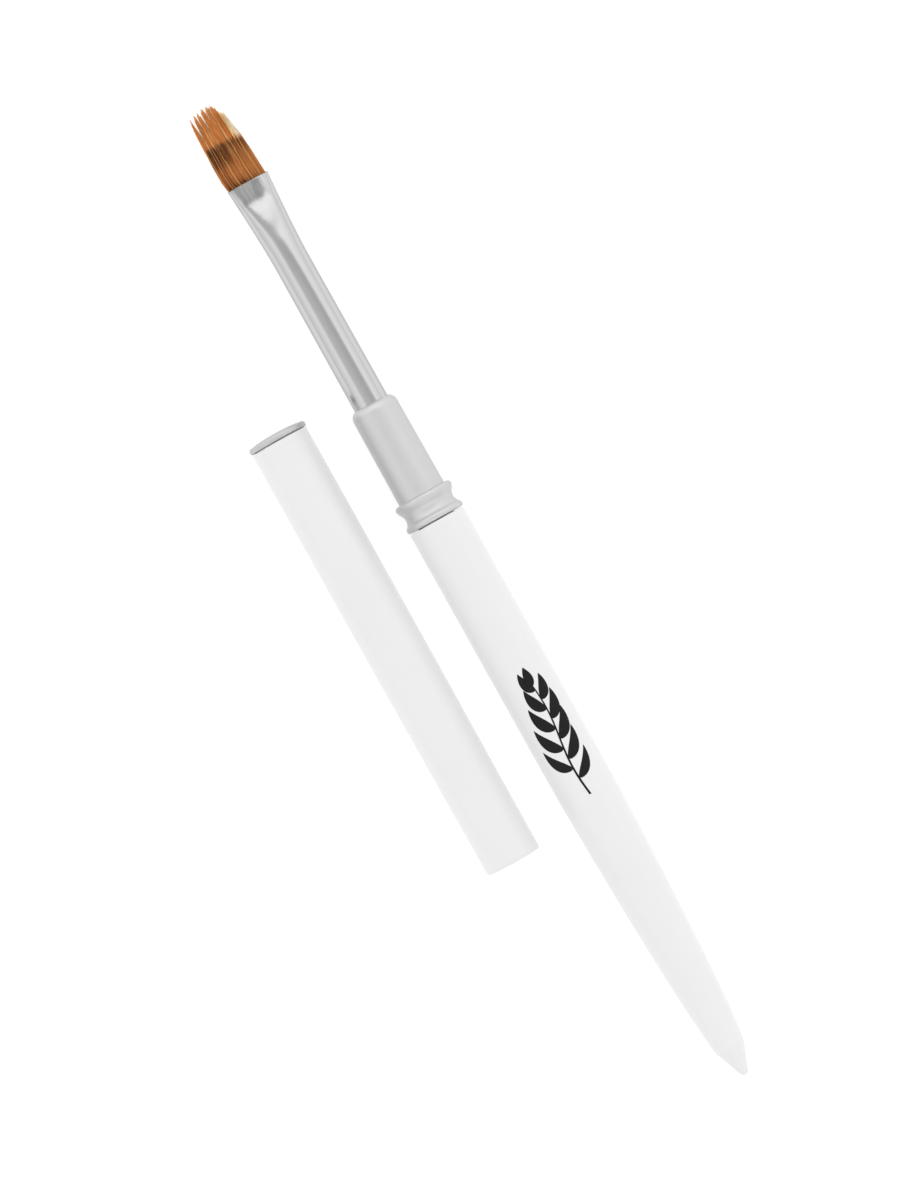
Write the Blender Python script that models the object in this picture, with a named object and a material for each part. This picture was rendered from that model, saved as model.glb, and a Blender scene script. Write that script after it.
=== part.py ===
"""Acrylic nail brush lying beside its own cap.

Metres, +Z up. The brush lies along Y with its hair towards +Y and its tail towards -Y, and the cap lies
beside it at -X with its mouth towards the tail. The origin is on the table, under the middle of the object.
"""

from math import acos, cos, degrees, pi, radians, sin

import bmesh
import bpy

MM = 0.001

# Handle
HANDLE_LENGTH = 95.1 * MM
HANDLE_DIAMETER = 9.1 * MM
TAIL_OGIVE_LENGTH = 49.8 * MM
TAIL_TIP_LENGTH = 4.8 * MM
TAIL_TIP_RADIUS = 0.75 * MM
OGIVE_RUN_POWER = 1.135
OGIVE_FULLNESS = 3.44
HANDLE_FRONT_EDGE = 0.12 * MM

# Connector: a cap sleeve in front of a collar of two beads with a cove between them
COLLAR_LENGTH = 4.4 * MM
BEADS_PROUD_OF_CAP = 0.145 * MM
STOP_BEAD_RADIUS = 0.58 * MM
FLANGE_BEAD_RADIUS = 0.66 * MM
FLANGE_BEAD_STATION = 0.42 * MM
FLANGE_REAR_STEP = 0.20 * MM
COVE_RADIUS = 1.65 * MM
COVE_DEPTH = 0.695 * MM
COVE_STATION = 2.02 * MM
SLEEVE_LENGTH = 15.5 * MM
SLEEVE_REAR_DIAMETER = 7.64 * MM
SLEEVE_TAPER = 0.20 * MM
SLEEVE_SHOULDER = 1.50 * MM
SLEEVE_LIP = 0.05 * MM
TENON_DIAMETER = 6.0 * MM
TENON_LENGTH = 12.0 * MM
TENON_CHAMFER = 0.4 * MM

# Ferrule: a thin tube, round at the rear and pressed flat at the mouth
FERRULE_EXPOSED = 38.1 * MM
FERRULE_SEAT_DEPTH = 8.0 * MM
FERRULE_REAR_DIAMETER = 5.52 * MM
FERRULE_TAPER = 0.10 * MM
FERRULE_FLATTENED = 13.5 * MM
FERRULE_WALL = 0.25 * MM
MOUTH_SPREAD = 1.34 * MM

# Hair
HAIR_LENGTH = 13.2 * MM
HAIR_TIP_THICKNESS = 1.1 * MM
HAIR_SQUARE_EDGE_INSET = 0.35 * MM
HAIR_CUT_LENGTH = 4.6 * MM
HAIR_CUT_DEPTH = 2.3 * MM
ROOT_LENGTH = 10.0 * MM
ROOT_DEPTH = 2.0 * MM
THREAD_LENGTH = 1.6 * MM
THREAD_THICKNESS = 0.30 * MM
THREAD_FROM_ROOT_END = 2.0 * MM

# Cap
CAP_WALL = 0.705 * MM
CAP_TIP_CLEARANCE = 2.1 * MM
CAP_MOUTH_EDGE = 0.20 * MM
PLUG_RIM_PROUD = 0.155 * MM
PLUG_RIM_THICKNESS = 0.80 * MM
PLUG_DOME_HEIGHT = 0.24 * MM
PLUG_FLAT_DIAMETER = 4.4 * MM
PLUG_RIM_EDGE = 0.12 * MM
SPIGOT_LENGTH = 3.5 * MM
SPIGOT_CHAMFER = 0.3 * MM

# Where the cap lies beside the brush
CAP_FROM_BRUSH = 5.35 * MM
CAP_MOUTH_BEHIND_HANDLE_FRONT = 50.3 * MM

# Clearances
SEAM_GAP = 0.2 * MM
PRESS_GAP = 0.1 * MM
CAP_GRIP_GAP = 0.05 * MM
HAIR_GAP = 0.3 * MM

SEGMENTS = 36
ARC_STEP = radians(22.5)
POLE_MERGE = 0.01 * MM

# Sizes that follow from the ones above: the cap grips the sleeve and encloses everything in front of the collar
NECK_DIAMETER = FERRULE_REAR_DIAMETER - FERRULE_TAPER
MOUTH_WIDTH = NECK_DIAMETER + MOUTH_SPREAD
MOUTH_THICKNESS = (pi * NECK_DIAMETER - 2 * MOUTH_WIDTH) / (pi - 2)
HAIR_THICKNESS = MOUTH_THICKNESS - 2 * FERRULE_WALL
CAP_BORE_DIAMETER = SLEEVE_REAR_DIAMETER + 2 * CAP_GRIP_GAP
CAP_DIAMETER = CAP_BORE_DIAMETER + 2 * CAP_WALL
CAP_DEPTH = SLEEVE_LENGTH + FERRULE_EXPOSED + HAIR_LENGTH + CAP_TIP_CLEARANCE
CAP_TUBE_LENGTH = CAP_DEPTH + SPIGOT_LENGTH - SEAM_GAP
PLUG_DIAMETER = CAP_DIAMETER + 2 * PLUG_RIM_PROUD
COLLAR_DIAMETER = CAP_DIAMETER + 2 * BEADS_PROUD_OF_CAP

# Places that follow
BRUSH_LENGTH = HANDLE_LENGTH + SEAM_GAP + COLLAR_LENGTH + SLEEVE_LENGTH + FERRULE_EXPOSED + HAIR_LENGTH
HANDLE_FRONT_Y = HANDLE_LENGTH - BRUSH_LENGTH / 2
COLLAR_REAR_Y = HANDLE_FRONT_Y + SEAM_GAP
SLEEVE_FRONT_Y = COLLAR_REAR_Y + COLLAR_LENGTH + SLEEVE_LENGTH
MOUTH_Y = SLEEVE_FRONT_Y + FERRULE_EXPOSED
HAIR_HINGE_Y = MOUTH_Y + HAIR_GAP + HAIR_THICKNESS / 2
CAP_MOUTH_Y = HANDLE_FRONT_Y - CAP_MOUTH_BEHIND_HANDLE_FRONT
BRUSH_RADIUS = max(COLLAR_DIAMETER, HANDLE_DIAMETER) / 2
AXIS_HEIGHT = max(BRUSH_RADIUS, PLUG_DIAMETER / 2)
CAP_SPACING = BRUSH_RADIUS + CAP_FROM_BRUSH + PLUG_DIAMETER / 2
BRUSH_X = (CAP_SPACING + PLUG_DIAMETER / 2 - BRUSH_RADIUS) / 2
CAP_X = BRUSH_X - CAP_SPACING


def clear_scene():
    for old in list(bpy.data.objects):
        bpy.data.objects.remove(old)


def plain_material(name, colour, metallic, roughness):
    material = bpy.data.materials.new(name)
    material.use_nodes = True
    surface = material.node_tree.nodes["Principled BSDF"]
    surface.inputs["Base Color"].default_value = (*colour, 1.0)
    surface.inputs["Metallic"].default_value = metallic
    surface.inputs["Roughness"].default_value = roughness
    return material


def make_materials():
    return {
        "white_lacquer": plain_material("white_lacquer", (0.86, 0.86, 0.86), 0.0, 0.32),
        "turned_aluminium": plain_material("turned_aluminium", (0.72, 0.72, 0.72), 1.0, 0.40),
        "drawn_ferrule": plain_material("drawn_ferrule", (0.68, 0.68, 0.68), 1.0, 0.30),
        "copper_hair": plain_material("copper_hair", (0.46, 0.19, 0.06), 0.0, 0.55),
        "amber_resin": plain_material("amber_resin", (0.55, 0.33, 0.10), 0.0, 0.25),
        "waxed_thread": plain_material("waxed_thread", (0.80, 0.76, 0.66), 0.0, 0.70),
    }


def make_axis(name, x, y):
    """An empty on a lengthwise axis, which its pieces are parented to."""
    axis = bpy.data.objects.new(name, None)
    axis.location = (x, y, AXIS_HEIGHT)
    axis.empty_display_size = 5 * MM
    bpy.context.collection.objects.link(axis)
    return axis


def arc(centre, radius, start, end):
    """Points (distance from the axis, station) round a centre, from one angle to another in degrees.

    Angle 0 points away from the axis and 90 degrees points forwards along it.
    """
    first, last = radians(start), radians(end)
    steps = max(1, round(abs(last - first) / ARC_STEP))
    turns = [first + (last - first) * step / steps for step in range(steps + 1)]
    return [(centre[0] + radius * cos(turn), centre[1] + radius * sin(turn)) for turn in turns]


def turned(name, outline, axis, station_y, material, is_ring=False):
    """A lathe-turned piece: its outline goes round the lengthwise axis with a Screw modifier.

    The outline holds (distance from the axis, station) points, the outer side running from front to rear.
    A solid piece starts and ends on the axis, and a ring closes on itself.
    """
    mesh = bpy.data.meshes.new(name)
    points = [(distance, 0.0, station) for distance, station in outline]
    edges = [(index, index + 1) for index in range(len(points) - 1)]
    if is_ring:
        edges.append((len(points) - 1, 0))
    mesh.from_pydata(points, edges, [])
    piece = bpy.data.objects.new(name, mesh)
    bpy.context.collection.objects.link(piece)
    piece.parent = axis
    piece.location = (0.0, station_y - axis.location.y, 0.0)
    piece.rotation_euler = (radians(-90), 0.0, 0.0)
    lathe = piece.modifiers.new("lathe", "SCREW")
    lathe.axis = "Z"
    lathe.steps = SEGMENTS
    lathe.render_steps = SEGMENTS
    lathe.use_smooth_shade = True
    lathe.use_merge_vertices = True
    lathe.merge_threshold = POLE_MERGE
    mesh.materials.append(material)
    return piece


def slot_ring(left, right, thickness, station, height=0.0):
    """A closed ring of points across the brush: two half circles joined by flats, or a circle if it is as wide
    as it is thick."""
    middle = (left + right) / 2
    flat = max(0.0, (right - left - thickness) / 2)
    ring = []
    for step in range(SEGMENTS):
        turn = 2 * pi * (step + 0.5) / SEGMENTS
        side = flat if cos(turn) > 0 else -flat
        ring.append((middle + side + thickness / 2 * cos(turn), station, height + thickness / 2 * sin(turn)))
    return ring


def lofted(name, rings, axis, station_y, material, is_tube=False):
    """A skin over successive rings. A tube's last ring meets its first, and a solid has both ends filled."""
    skin = bmesh.new()
    loops = [[skin.verts.new(point) for point in ring] for ring in rings]
    followers = loops[1:] + loops[:1] if is_tube else loops[1:]
    for loop, follower in zip(loops, followers):
        for index in range(SEGMENTS):
            after = (index + 1) % SEGMENTS
            skin.faces.new((loop[index], loop[after], follower[after], follower[index]))
    if not is_tube:
        skin.faces.new(loops[0])
        skin.faces.new(loops[-1])
    bmesh.ops.recalc_face_normals(skin, faces=skin.faces)
    if skin.calc_volume(signed=True) < 0:
        bmesh.ops.reverse_faces(skin, faces=skin.faces)
    mesh = bpy.data.meshes.new(name)
    skin.to_mesh(mesh)
    skin.free()
    mesh.shade_smooth()
    mesh.set_sharp_from_angle(angle=radians(40))
    mesh.materials.append(material)
    piece = bpy.data.objects.new(name, mesh)
    bpy.context.collection.objects.link(piece)
    piece.parent = axis
    piece.location = (0.0, station_y - axis.location.y, 0.0)
    return piece


def ogive_radius(run):
    """Half the tail's thickness at a distance behind the start of its taper."""
    share = run / TAIL_OGIVE_LENGTH
    return HANDLE_DIAMETER / 2 * (1 - share**OGIVE_RUN_POWER) ** (1 / OGIVE_FULLNESS)


def make_handle(axis, material):
    """Handle: blind bore for the tenon, straight barrel, ogive tail, and a short cone to a rounded tip."""
    radius = HANDLE_DIAMETER / 2
    bore_radius = TENON_DIAMETER / 2 + PRESS_GAP
    bore_depth = TENON_LENGTH - SEAM_GAP + PRESS_GAP
    edge = HANDLE_FRONT_EDGE
    taper_start = HANDLE_LENGTH - TAIL_OGIVE_LENGTH
    ogive_run = TAIL_OGIVE_LENGTH - TAIL_TIP_LENGTH
    stations = 14
    ogive = []
    for index in range(stations + 1):
        run = ogive_run * (1 - (1 - index / stations) ** 1.6)
        ogive.append((ogive_radius(run), -taper_start - run))
    tip_centre = (0.0, TAIL_TIP_RADIUS - HANDLE_LENGTH)
    outline = [(0.0, -bore_depth), (bore_radius, -bore_depth), (bore_radius, 0.0)]
    outline += [(radius - edge, 0.0), (radius, -edge)]
    outline += ogive
    outline += [(0.90 * ogive[-1][0], ogive[-1][1] - 0.12 * TAIL_TIP_LENGTH)]
    outline += arc(tip_centre, TAIL_TIP_RADIUS, -25, -90)[:-1]
    outline += [(0.0, -HANDLE_LENGTH)]
    return turned("handle_shell", outline, axis, HANDLE_FRONT_Y, material)


def ferrule_radius(behind_mouth):
    """Half the ferrule's diameter where it is round: slightly wider towards the rear."""
    run = (behind_mouth - FERRULE_FLATTENED) / (FERRULE_EXPOSED - FERRULE_FLATTENED)
    return (NECK_DIAMETER + FERRULE_TAPER * min(1.0, run)) / 2


def make_connector(axis, material):
    """Connector: ferrule bore, cap sleeve, stop bead, cove, flange bead and the tenon that enters the handle."""
    bore_radius = FERRULE_REAR_DIAMETER / 2 + PRESS_GAP
    sleeve_front = COLLAR_LENGTH + SLEEVE_LENGTH
    bore_bottom = sleeve_front - FERRULE_SEAT_DEPTH - PRESS_GAP
    sleeve_rear_radius = SLEEVE_REAR_DIAMETER / 2
    sleeve_front_radius = sleeve_rear_radius - SLEEVE_TAPER / 2
    tenon_radius = TENON_DIAMETER / 2
    collar_radius = COLLAR_DIAMETER / 2
    stop_centre = (collar_radius - STOP_BEAD_RADIUS, COLLAR_LENGTH - STOP_BEAD_RADIUS)
    flange_centre = (collar_radius - FLANGE_BEAD_RADIUS, FLANGE_BEAD_STATION)
    cove_centre = (collar_radius - COVE_DEPTH + COVE_RADIUS, COVE_STATION)
    outline = [(0.0, bore_bottom), (bore_radius, bore_bottom), (bore_radius, sleeve_front)]
    shoulder_inner = sleeve_front_radius - SLEEVE_SHOULDER
    lip_turn = acos((bore_radius + SLEEVE_LIP - shoulder_inner) / SLEEVE_SHOULDER)
    shoulder_centre = (shoulder_inner, sleeve_front - SLEEVE_SHOULDER * sin(lip_turn))
    outline += arc(shoulder_centre, SLEEVE_SHOULDER, degrees(lip_turn), 0)
    outline += [(sleeve_rear_radius, COLLAR_LENGTH)]
    outline += arc(stop_centre, STOP_BEAD_RADIUS, 90, -45)
    outline += arc(cove_centre, COVE_RADIUS, 136, 214)
    outline += arc(flange_centre, FLANGE_BEAD_RADIUS, 45, -30)
    outline += [(collar_radius - FLANGE_REAR_STEP, 0.0), (tenon_radius, 0.0)]
    outline += [(tenon_radius, TENON_CHAMFER - TENON_LENGTH), (tenon_radius - TENON_CHAMFER, -TENON_LENGTH)]
    outline += [(0.0, -TENON_LENGTH)]
    return turned("connector", outline, axis, COLLAR_REAR_Y, material)


def ferrule_section(behind_mouth):
    """Outer width and thickness of the ferrule at a distance behind its mouth.

    The tube keeps its girth as it is pressed flat, so what the width gains the thickness loses.
    """
    diameter = 2 * ferrule_radius(max(behind_mouth, FERRULE_FLATTENED))
    share = max(0.0, 1 - behind_mouth / FERRULE_FLATTENED)
    width = diameter + (MOUTH_WIDTH - diameter) * share**1.5
    thickness = (pi * diameter - 2 * width) / (pi - 2)
    return width, thickness


def ferrule_stations(start, end, count):
    return [start + (end - start) * index / count for index in range(count + 1)]


def make_ferrule(axis, material):
    """Ferrule: outer skin from rear to mouth and inner skin back again, one wall apart."""
    rear = FERRULE_EXPOSED + FERRULE_SEAT_DEPTH
    stations = [rear, FERRULE_EXPOSED] + ferrule_stations(FERRULE_FLATTENED, 0.0, 9)
    outer, inner = [], []
    for behind in stations:
        width, thickness = ferrule_section(behind)
        outer.append(slot_ring(-width / 2, width / 2, thickness, -behind))
        bore_width = width - 2 * FERRULE_WALL
        inner.append(slot_ring(-bore_width / 2, bore_width / 2, thickness - 2 * FERRULE_WALL, -behind))
    return lofted("ferrule", outer + inner[::-1], axis, MOUTH_Y, material, is_tube=True)


def inside_ferrule(behind_mouth, inset):
    """A ring inside the ferrule's bore, set in from its outer skin."""
    width, thickness = ferrule_section(behind_mouth)
    return slot_ring(inset - width / 2, width / 2 - inset, thickness - 2 * inset, -behind_mouth)


def make_root_resin(axis, material):
    """Resin block round the hair roots, with a waist where the thread ties the bundle."""
    skin_inset = FERRULE_WALL + PRESS_GAP
    waist_inset = skin_inset + THREAD_THICKNESS + PRESS_GAP
    front, rear = ROOT_DEPTH, ROOT_DEPTH + ROOT_LENGTH
    waist_rear = rear - THREAD_FROM_ROOT_END + PRESS_GAP
    waist_front = waist_rear - THREAD_LENGTH - 2 * PRESS_GAP
    rings = [inside_ferrule(rear, skin_inset), inside_ferrule(waist_rear, skin_inset)]
    rings += [inside_ferrule(waist_rear, waist_inset), inside_ferrule(waist_front, waist_inset)]
    rings += [inside_ferrule(behind, skin_inset) for behind in ferrule_stations(waist_front, front, 5)]
    return lofted("hair_root_resin", rings, axis, MOUTH_Y, material)


def make_thread(axis, material):
    """Flat winding of thread round the waist of the bundle."""
    outer_inset = FERRULE_WALL + PRESS_GAP
    inner_inset = outer_inset + THREAD_THICKNESS
    rear = ROOT_DEPTH + ROOT_LENGTH - THREAD_FROM_ROOT_END
    front = rear - THREAD_LENGTH
    rings = [inside_ferrule(rear, outer_inset), inside_ferrule(front, outer_inset)]
    rings += [inside_ferrule(front, inner_inset), inside_ferrule(rear, inner_inset)]
    return lofted("binding_thread", rings, axis, MOUTH_Y, material, is_tube=True)


def hair_section(beyond_mouth):
    """Left side, right side and thickness of the tuft at a distance beyond the ferrule's mouth.

    The left side stays nearly square to its tip, and the right side is cut back along a curve.
    """
    share = beyond_mouth / HAIR_LENGTH
    half_width = MOUTH_WIDTH / 2 - FERRULE_WALL
    cut = max(0.0, 1 - (HAIR_LENGTH - beyond_mouth) / HAIR_CUT_LENGTH)
    left = -half_width + HAIR_SQUARE_EDGE_INSET * share
    right = half_width - 2 * HAIR_SQUARE_EDGE_INSET * share - HAIR_CUT_DEPTH * cut**2
    return left, right, HAIR_THICKNESS + (HAIR_TIP_THICKNESS - HAIR_THICKNESS) * share


def make_hair(axis, material):
    """Free part of the hair. Its root is rounded about the axis that it bends on, so it clears the mouth."""
    root_radius = HAIR_THICKNESS / 2
    left, right, _ = hair_section(0.0)
    rings = []
    for turn in (-78, -55, -30):
        thickness = 2 * root_radius * cos(radians(turn))
        rings.append(slot_ring(left, right, thickness, root_radius * sin(radians(turn))))
    reach = MOUTH_Y + HAIR_LENGTH - HAIR_HINGE_Y
    for run in ferrule_stations(0.0, reach, 8):
        left, right, thickness = hair_section(HAIR_LENGTH - reach + run)
        rings.append(slot_ring(left, right, thickness, run))
    return lofted("hair_tuft", rings, axis, HAIR_HINGE_Y, material)


def make_cap_tube(axis, material):
    """Cap tube: open at both ends, its mouth edge rounded."""
    outer = CAP_DIAMETER / 2
    bore = CAP_BORE_DIAMETER / 2
    edge = CAP_MOUTH_EDGE
    mouth_edge = arc((outer - edge, edge), edge, 0, -90)
    outline = [(bore, CAP_TUBE_LENGTH), (outer, CAP_TUBE_LENGTH), *mouth_edge, (bore, 0.0)]
    return turned("cap_tube", outline, axis, CAP_MOUTH_Y, material, is_ring=True)


def make_cap_plug(axis, material):
    """Cap end plug: a low dome with a flat middle, a rim that covers the tube's end, and a spigot inside it."""
    rim = PLUG_DIAMETER / 2
    spigot = CAP_BORE_DIAMETER / 2 - PRESS_GAP
    rim_top = PLUG_RIM_THICKNESS
    top = rim_top + PLUG_DOME_HEIGHT
    outline = [(0.0, top), (PLUG_FLAT_DIAMETER / 2, top)]
    outline += [((PLUG_FLAT_DIAMETER / 2 + rim) / 2, top - 0.3 * PLUG_DOME_HEIGHT)]
    outline += [(rim - PLUG_RIM_EDGE, rim_top), (rim, rim_top - PLUG_RIM_EDGE)]
    outline += [(rim, 0.0), (spigot, 0.0)]
    outline += [(spigot, SPIGOT_CHAMFER - SPIGOT_LENGTH), (spigot - SPIGOT_CHAMFER, -SPIGOT_LENGTH)]
    outline += [(0.0, -SPIGOT_LENGTH)]
    seat_y = CAP_MOUTH_Y + CAP_TUBE_LENGTH + SEAM_GAP
    return turned("cap_end_plug", outline, axis, seat_y, material)


def make_brush(materials):
    axis = make_axis("brush_axis", BRUSH_X, HANDLE_FRONT_Y)
    make_handle(axis, materials["white_lacquer"])
    make_connector(axis, materials["turned_aluminium"])
    make_ferrule(axis, materials["drawn_ferrule"])
    make_root_resin(axis, materials["amber_resin"])
    make_thread(axis, materials["waxed_thread"])


def make_bending_hair(materials):
    axis = make_axis("hair_flex_axis", BRUSH_X, HAIR_HINGE_Y)
    make_hair(axis, materials["copper_hair"])


def make_cap(materials):
    axis = make_axis("cap_slide_axis", CAP_X, CAP_MOUTH_Y)
    make_cap_tube(axis, materials["white_lacquer"])
    make_cap_plug(axis, materials["turned_aluminium"])


clear_scene()
all_materials = make_materials()
make_brush(all_materials)
make_bending_hair(all_materials)
make_cap(all_materials)
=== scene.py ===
from math import acos, pi, radians, sin

import bpy
import numpy as np
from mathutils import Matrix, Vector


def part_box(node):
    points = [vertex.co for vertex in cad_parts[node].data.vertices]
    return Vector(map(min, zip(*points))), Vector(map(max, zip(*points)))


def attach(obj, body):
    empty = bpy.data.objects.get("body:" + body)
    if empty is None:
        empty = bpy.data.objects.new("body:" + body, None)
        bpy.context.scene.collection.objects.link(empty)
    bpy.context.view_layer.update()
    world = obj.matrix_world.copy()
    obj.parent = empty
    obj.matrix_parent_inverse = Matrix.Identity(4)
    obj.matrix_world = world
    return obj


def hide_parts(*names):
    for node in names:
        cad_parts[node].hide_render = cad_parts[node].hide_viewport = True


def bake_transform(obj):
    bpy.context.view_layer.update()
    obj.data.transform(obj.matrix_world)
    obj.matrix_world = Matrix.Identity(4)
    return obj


# Finished surfaces, lights and camera for an acrylic nail brush lying beside its own cap.
# Sizes are in millimetres and are turned into metres when a mesh is written.

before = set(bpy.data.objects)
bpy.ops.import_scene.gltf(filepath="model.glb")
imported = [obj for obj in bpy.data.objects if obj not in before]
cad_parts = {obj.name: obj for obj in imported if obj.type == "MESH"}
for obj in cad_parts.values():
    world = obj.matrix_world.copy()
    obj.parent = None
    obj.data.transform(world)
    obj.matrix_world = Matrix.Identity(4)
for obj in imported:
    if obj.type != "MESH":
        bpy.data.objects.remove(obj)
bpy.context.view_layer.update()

MM = 0.001


def corners_of(node):
    """A node's lowest and highest corners at rest, in millimetres."""
    return [np.round(np.array(corner) / MM, 4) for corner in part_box(node)]


handle_low, handle_high = corners_of("handle_shell")
connector_low, connector_high = corners_of("connector")
ferrule_low, ferrule_high = corners_of("ferrule")
tube_low, tube_high = corners_of("cap_tube")
plug_low, plug_high = corners_of("cap_end_plug")
tuft_high = corners_of("hair_tuft")[1]

# The two lengthwise axes, and what a pressed joint leaves free
BRUSH_X, _, AXIS_HEIGHT = (handle_low + handle_high) / 2
CAP_X = (tube_low[0] + tube_high[0]) / 2
PRESS_GAP = 0.1

# Handle
HANDLE_FRONT = handle_high[1]
HANDLE_LENGTH = handle_high[1] - handle_low[1]
HANDLE_RADIUS = (handle_high[0] - handle_low[0]) / 2
HANDLE_FRONT_EDGE = 0.14
TAIL_OGIVE_LENGTH = 49.8
TAIL_TIP_LENGTH = 4.8
TAIL_TIP_RADIUS = 0.75
OGIVE_RUN_POWER = 1.135
OGIVE_FULLNESS = 3.44
TENON_RADIUS = 3.0
TENON_LENGTH = 12.0
TENON_CHAMFER = 0.4

# Connector
COLLAR_REAR = connector_low[1] + TENON_LENGTH
COLLAR_RADIUS = (connector_high[0] - connector_low[0]) / 2
COLLAR_LENGTH = 4.4
COLLAR_REAR_STEP = 0.20
STOP_BEAD = 0.58
FLANGE_BEAD = 0.66
FLANGE_STATION = 0.42
COVE = 1.65
COVE_DEPTH = 0.695
COVE_STATION = 2.02
SLEEVE_LENGTH = connector_high[1] - COLLAR_REAR - COLLAR_LENGTH
SLEEVE_REAR_RADIUS = 3.82
SLEEVE_FRONT_RADIUS = 3.72
SLEEVE_SHOULDER = 1.5
SLEEVE_LIP = 0.13

# Ferrule
MOUTH = ferrule_high[1]
FERRULE_EXPOSED = ferrule_high[1] - connector_high[1]
FERRULE_SEATED = connector_high[1] - ferrule_low[1]
FERRULE_WALL = 0.25
NECK_RADIUS = 2.71
SEATED_SWELL = 0.05
FLATTENED = 13.5
MOUTH_HALF_WIDTH = 3.38

# Hair: the strands start inside the ferrule, and their tones start a little behind them
HAIR_LENGTH = tuft_high[1] - MOUTH
STRAND_START = -1.6
TONE_START = -1.7

# Cap
CAP_MOUTH = tube_low[1]
CAP_TUBE_LENGTH = tube_high[1] - tube_low[1]
CAP_BORE = 3.87
SPIGOT_LENGTH = 3.5
SPIGOT_CHAMFER = 0.3
PLUG_SEAT = plug_low[1] + SPIGOT_LENGTH
PLUG_RADIUS = (plug_high[0] - plug_low[0]) / 2


# ---------------------------------------------------------------------------
# Meshes
# ---------------------------------------------------------------------------

def ring_faces(rings, sides, closes=False):
    """Quads between neighbouring rings of a grid: each one joins a point, the next point round, and the same
    two on the following ring. A grid that closes joins its last ring to its first."""
    rows = np.arange(rings if closes else rings - 1)[:, None]
    columns = np.arange(sides)[None, :]
    after = (columns + 1) % sides
    following = (rows + 1) % rings
    here = rows * sides
    beyond = following * sides
    corners = [here + columns, here + after, beyond + after, beyond + columns]
    return np.stack(corners, axis=-1).reshape(-1, 4)


def enclosed_volume(points, faces):
    """Six times the volume inside a closed skin: the sum of each triangle's triple product, with a quad cut
    in two."""
    triangles = faces[:, :3]
    if faces.shape[1] == 4:
        triangles = np.concatenate([triangles, faces[:, [0, 2, 3]]])
    a, b, c = (points[triangles[:, corner]] for corner in range(3))
    return float(np.einsum("ij,ij->", a, np.cross(b, c)))


def skin(name, points, face_sets, finish, sharp_angle=32):
    """Writes points in millimetres and sets of faces into a mesh object at the origin, facing outwards."""
    centred = points - points.mean(axis=0)
    volume = sum(enclosed_volume(centred, faces) for faces in face_sets)
    faces = []
    for group in face_sets:
        faces += (group if volume > 0 else group[:, ::-1]).tolist()
    mesh = bpy.data.meshes.new(name)
    mesh.from_pydata((points * MM).tolist(), [], faces)
    mesh.shade_smooth()
    if sharp_angle:
        mesh.set_sharp_from_angle(angle=radians(sharp_angle))
    mesh.materials.append(finish)
    piece = bpy.data.objects.new(name, mesh)
    bpy.context.scene.collection.objects.link(piece)
    return piece


def arc(centre, radius, start, end, step=5.0):
    """Points (distance from the axis, station) at equal turns round a centre. Angles are in degrees: 0 points
    away from the axis, and 90 forwards along it."""
    count = max(2, round(abs(end - start) / step) + 1)
    turn = np.radians(np.linspace(start, end, count))
    return np.stack([centre[0] + radius * np.cos(turn), centre[1] + radius * np.sin(turn)], axis=1)


def straight(start, end, count):
    """Points at equal distances from one (distance, station) to another, with both ends."""
    share = np.linspace(0.0, 1.0, count)[:, None]
    return np.asarray(start) + (np.asarray(end) - np.asarray(start)) * share


def outline_of(*parts):
    """Parts of a lathe outline joined into one list of points, each repeated point left out."""
    joined = np.concatenate([np.atleast_2d(part).astype(float) for part in parts])
    moved = np.linalg.norm(np.diff(joined, axis=0), axis=1) > 1e-6
    return joined[np.concatenate([[True], moved])]


def end_fans(rings, sides):
    """Triangles from each end ring of a grid to its own pole. The two poles follow the grid's points."""
    around = np.arange(sides)
    after = (around + 1) % sides
    last = (rings - 1) * sides
    first_pole = rings * sides
    front = np.stack([after, around, np.full(sides, first_pole)], axis=1)
    back = np.stack([last + around, last + after, np.full(sides, first_pole + 1)], axis=1)
    return [front, back]


def turned(name, outline, axis_x, station_y, finish, sides=144, is_ring=False):
    """A lathe-turned skin. A point at distance r and station s, turned by an angle, stands at
    (axis + r sin angle, place + s, height + r cos angle). A solid's first and last points lie on the axis and
    close it with one point each. A ring's outline closes on itself."""
    angle = 2 * pi * np.arange(sides) / sides
    rings = outline if is_ring else outline[1:-1]
    distance, station = rings[:, :1], rings[:, 1:]
    grid = np.stack(
        [
            axis_x + distance * np.sin(angle),
            station_y + station + 0 * angle,
            AXIS_HEIGHT + distance * np.cos(angle),
        ],
        axis=-1,
    )
    points = grid.reshape(-1, 3)
    face_sets = [ring_faces(len(rings), sides, closes=is_ring)]
    if not is_ring:
        poles = [[axis_x, station_y + outline[end, 1], AXIS_HEIGHT] for end in (0, -1)]
        points = np.concatenate([points, poles])
        face_sets += end_fans(len(rings), sides)
    return skin(name, points, face_sets, finish)


def capped_grid(name, grid, rings, sides, finish):
    """A skin over rings of points, closed at each end by a fan to the end ring's middle."""
    poles = np.array([grid[:sides].mean(axis=0), grid[-sides:].mean(axis=0)])
    points = np.concatenate([grid, poles])
    return skin(name, points, [ring_faces(rings, sides), *end_fans(rings, sides)], finish)


# ---------------------------------------------------------------------------
# Finishes
# ---------------------------------------------------------------------------

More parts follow.
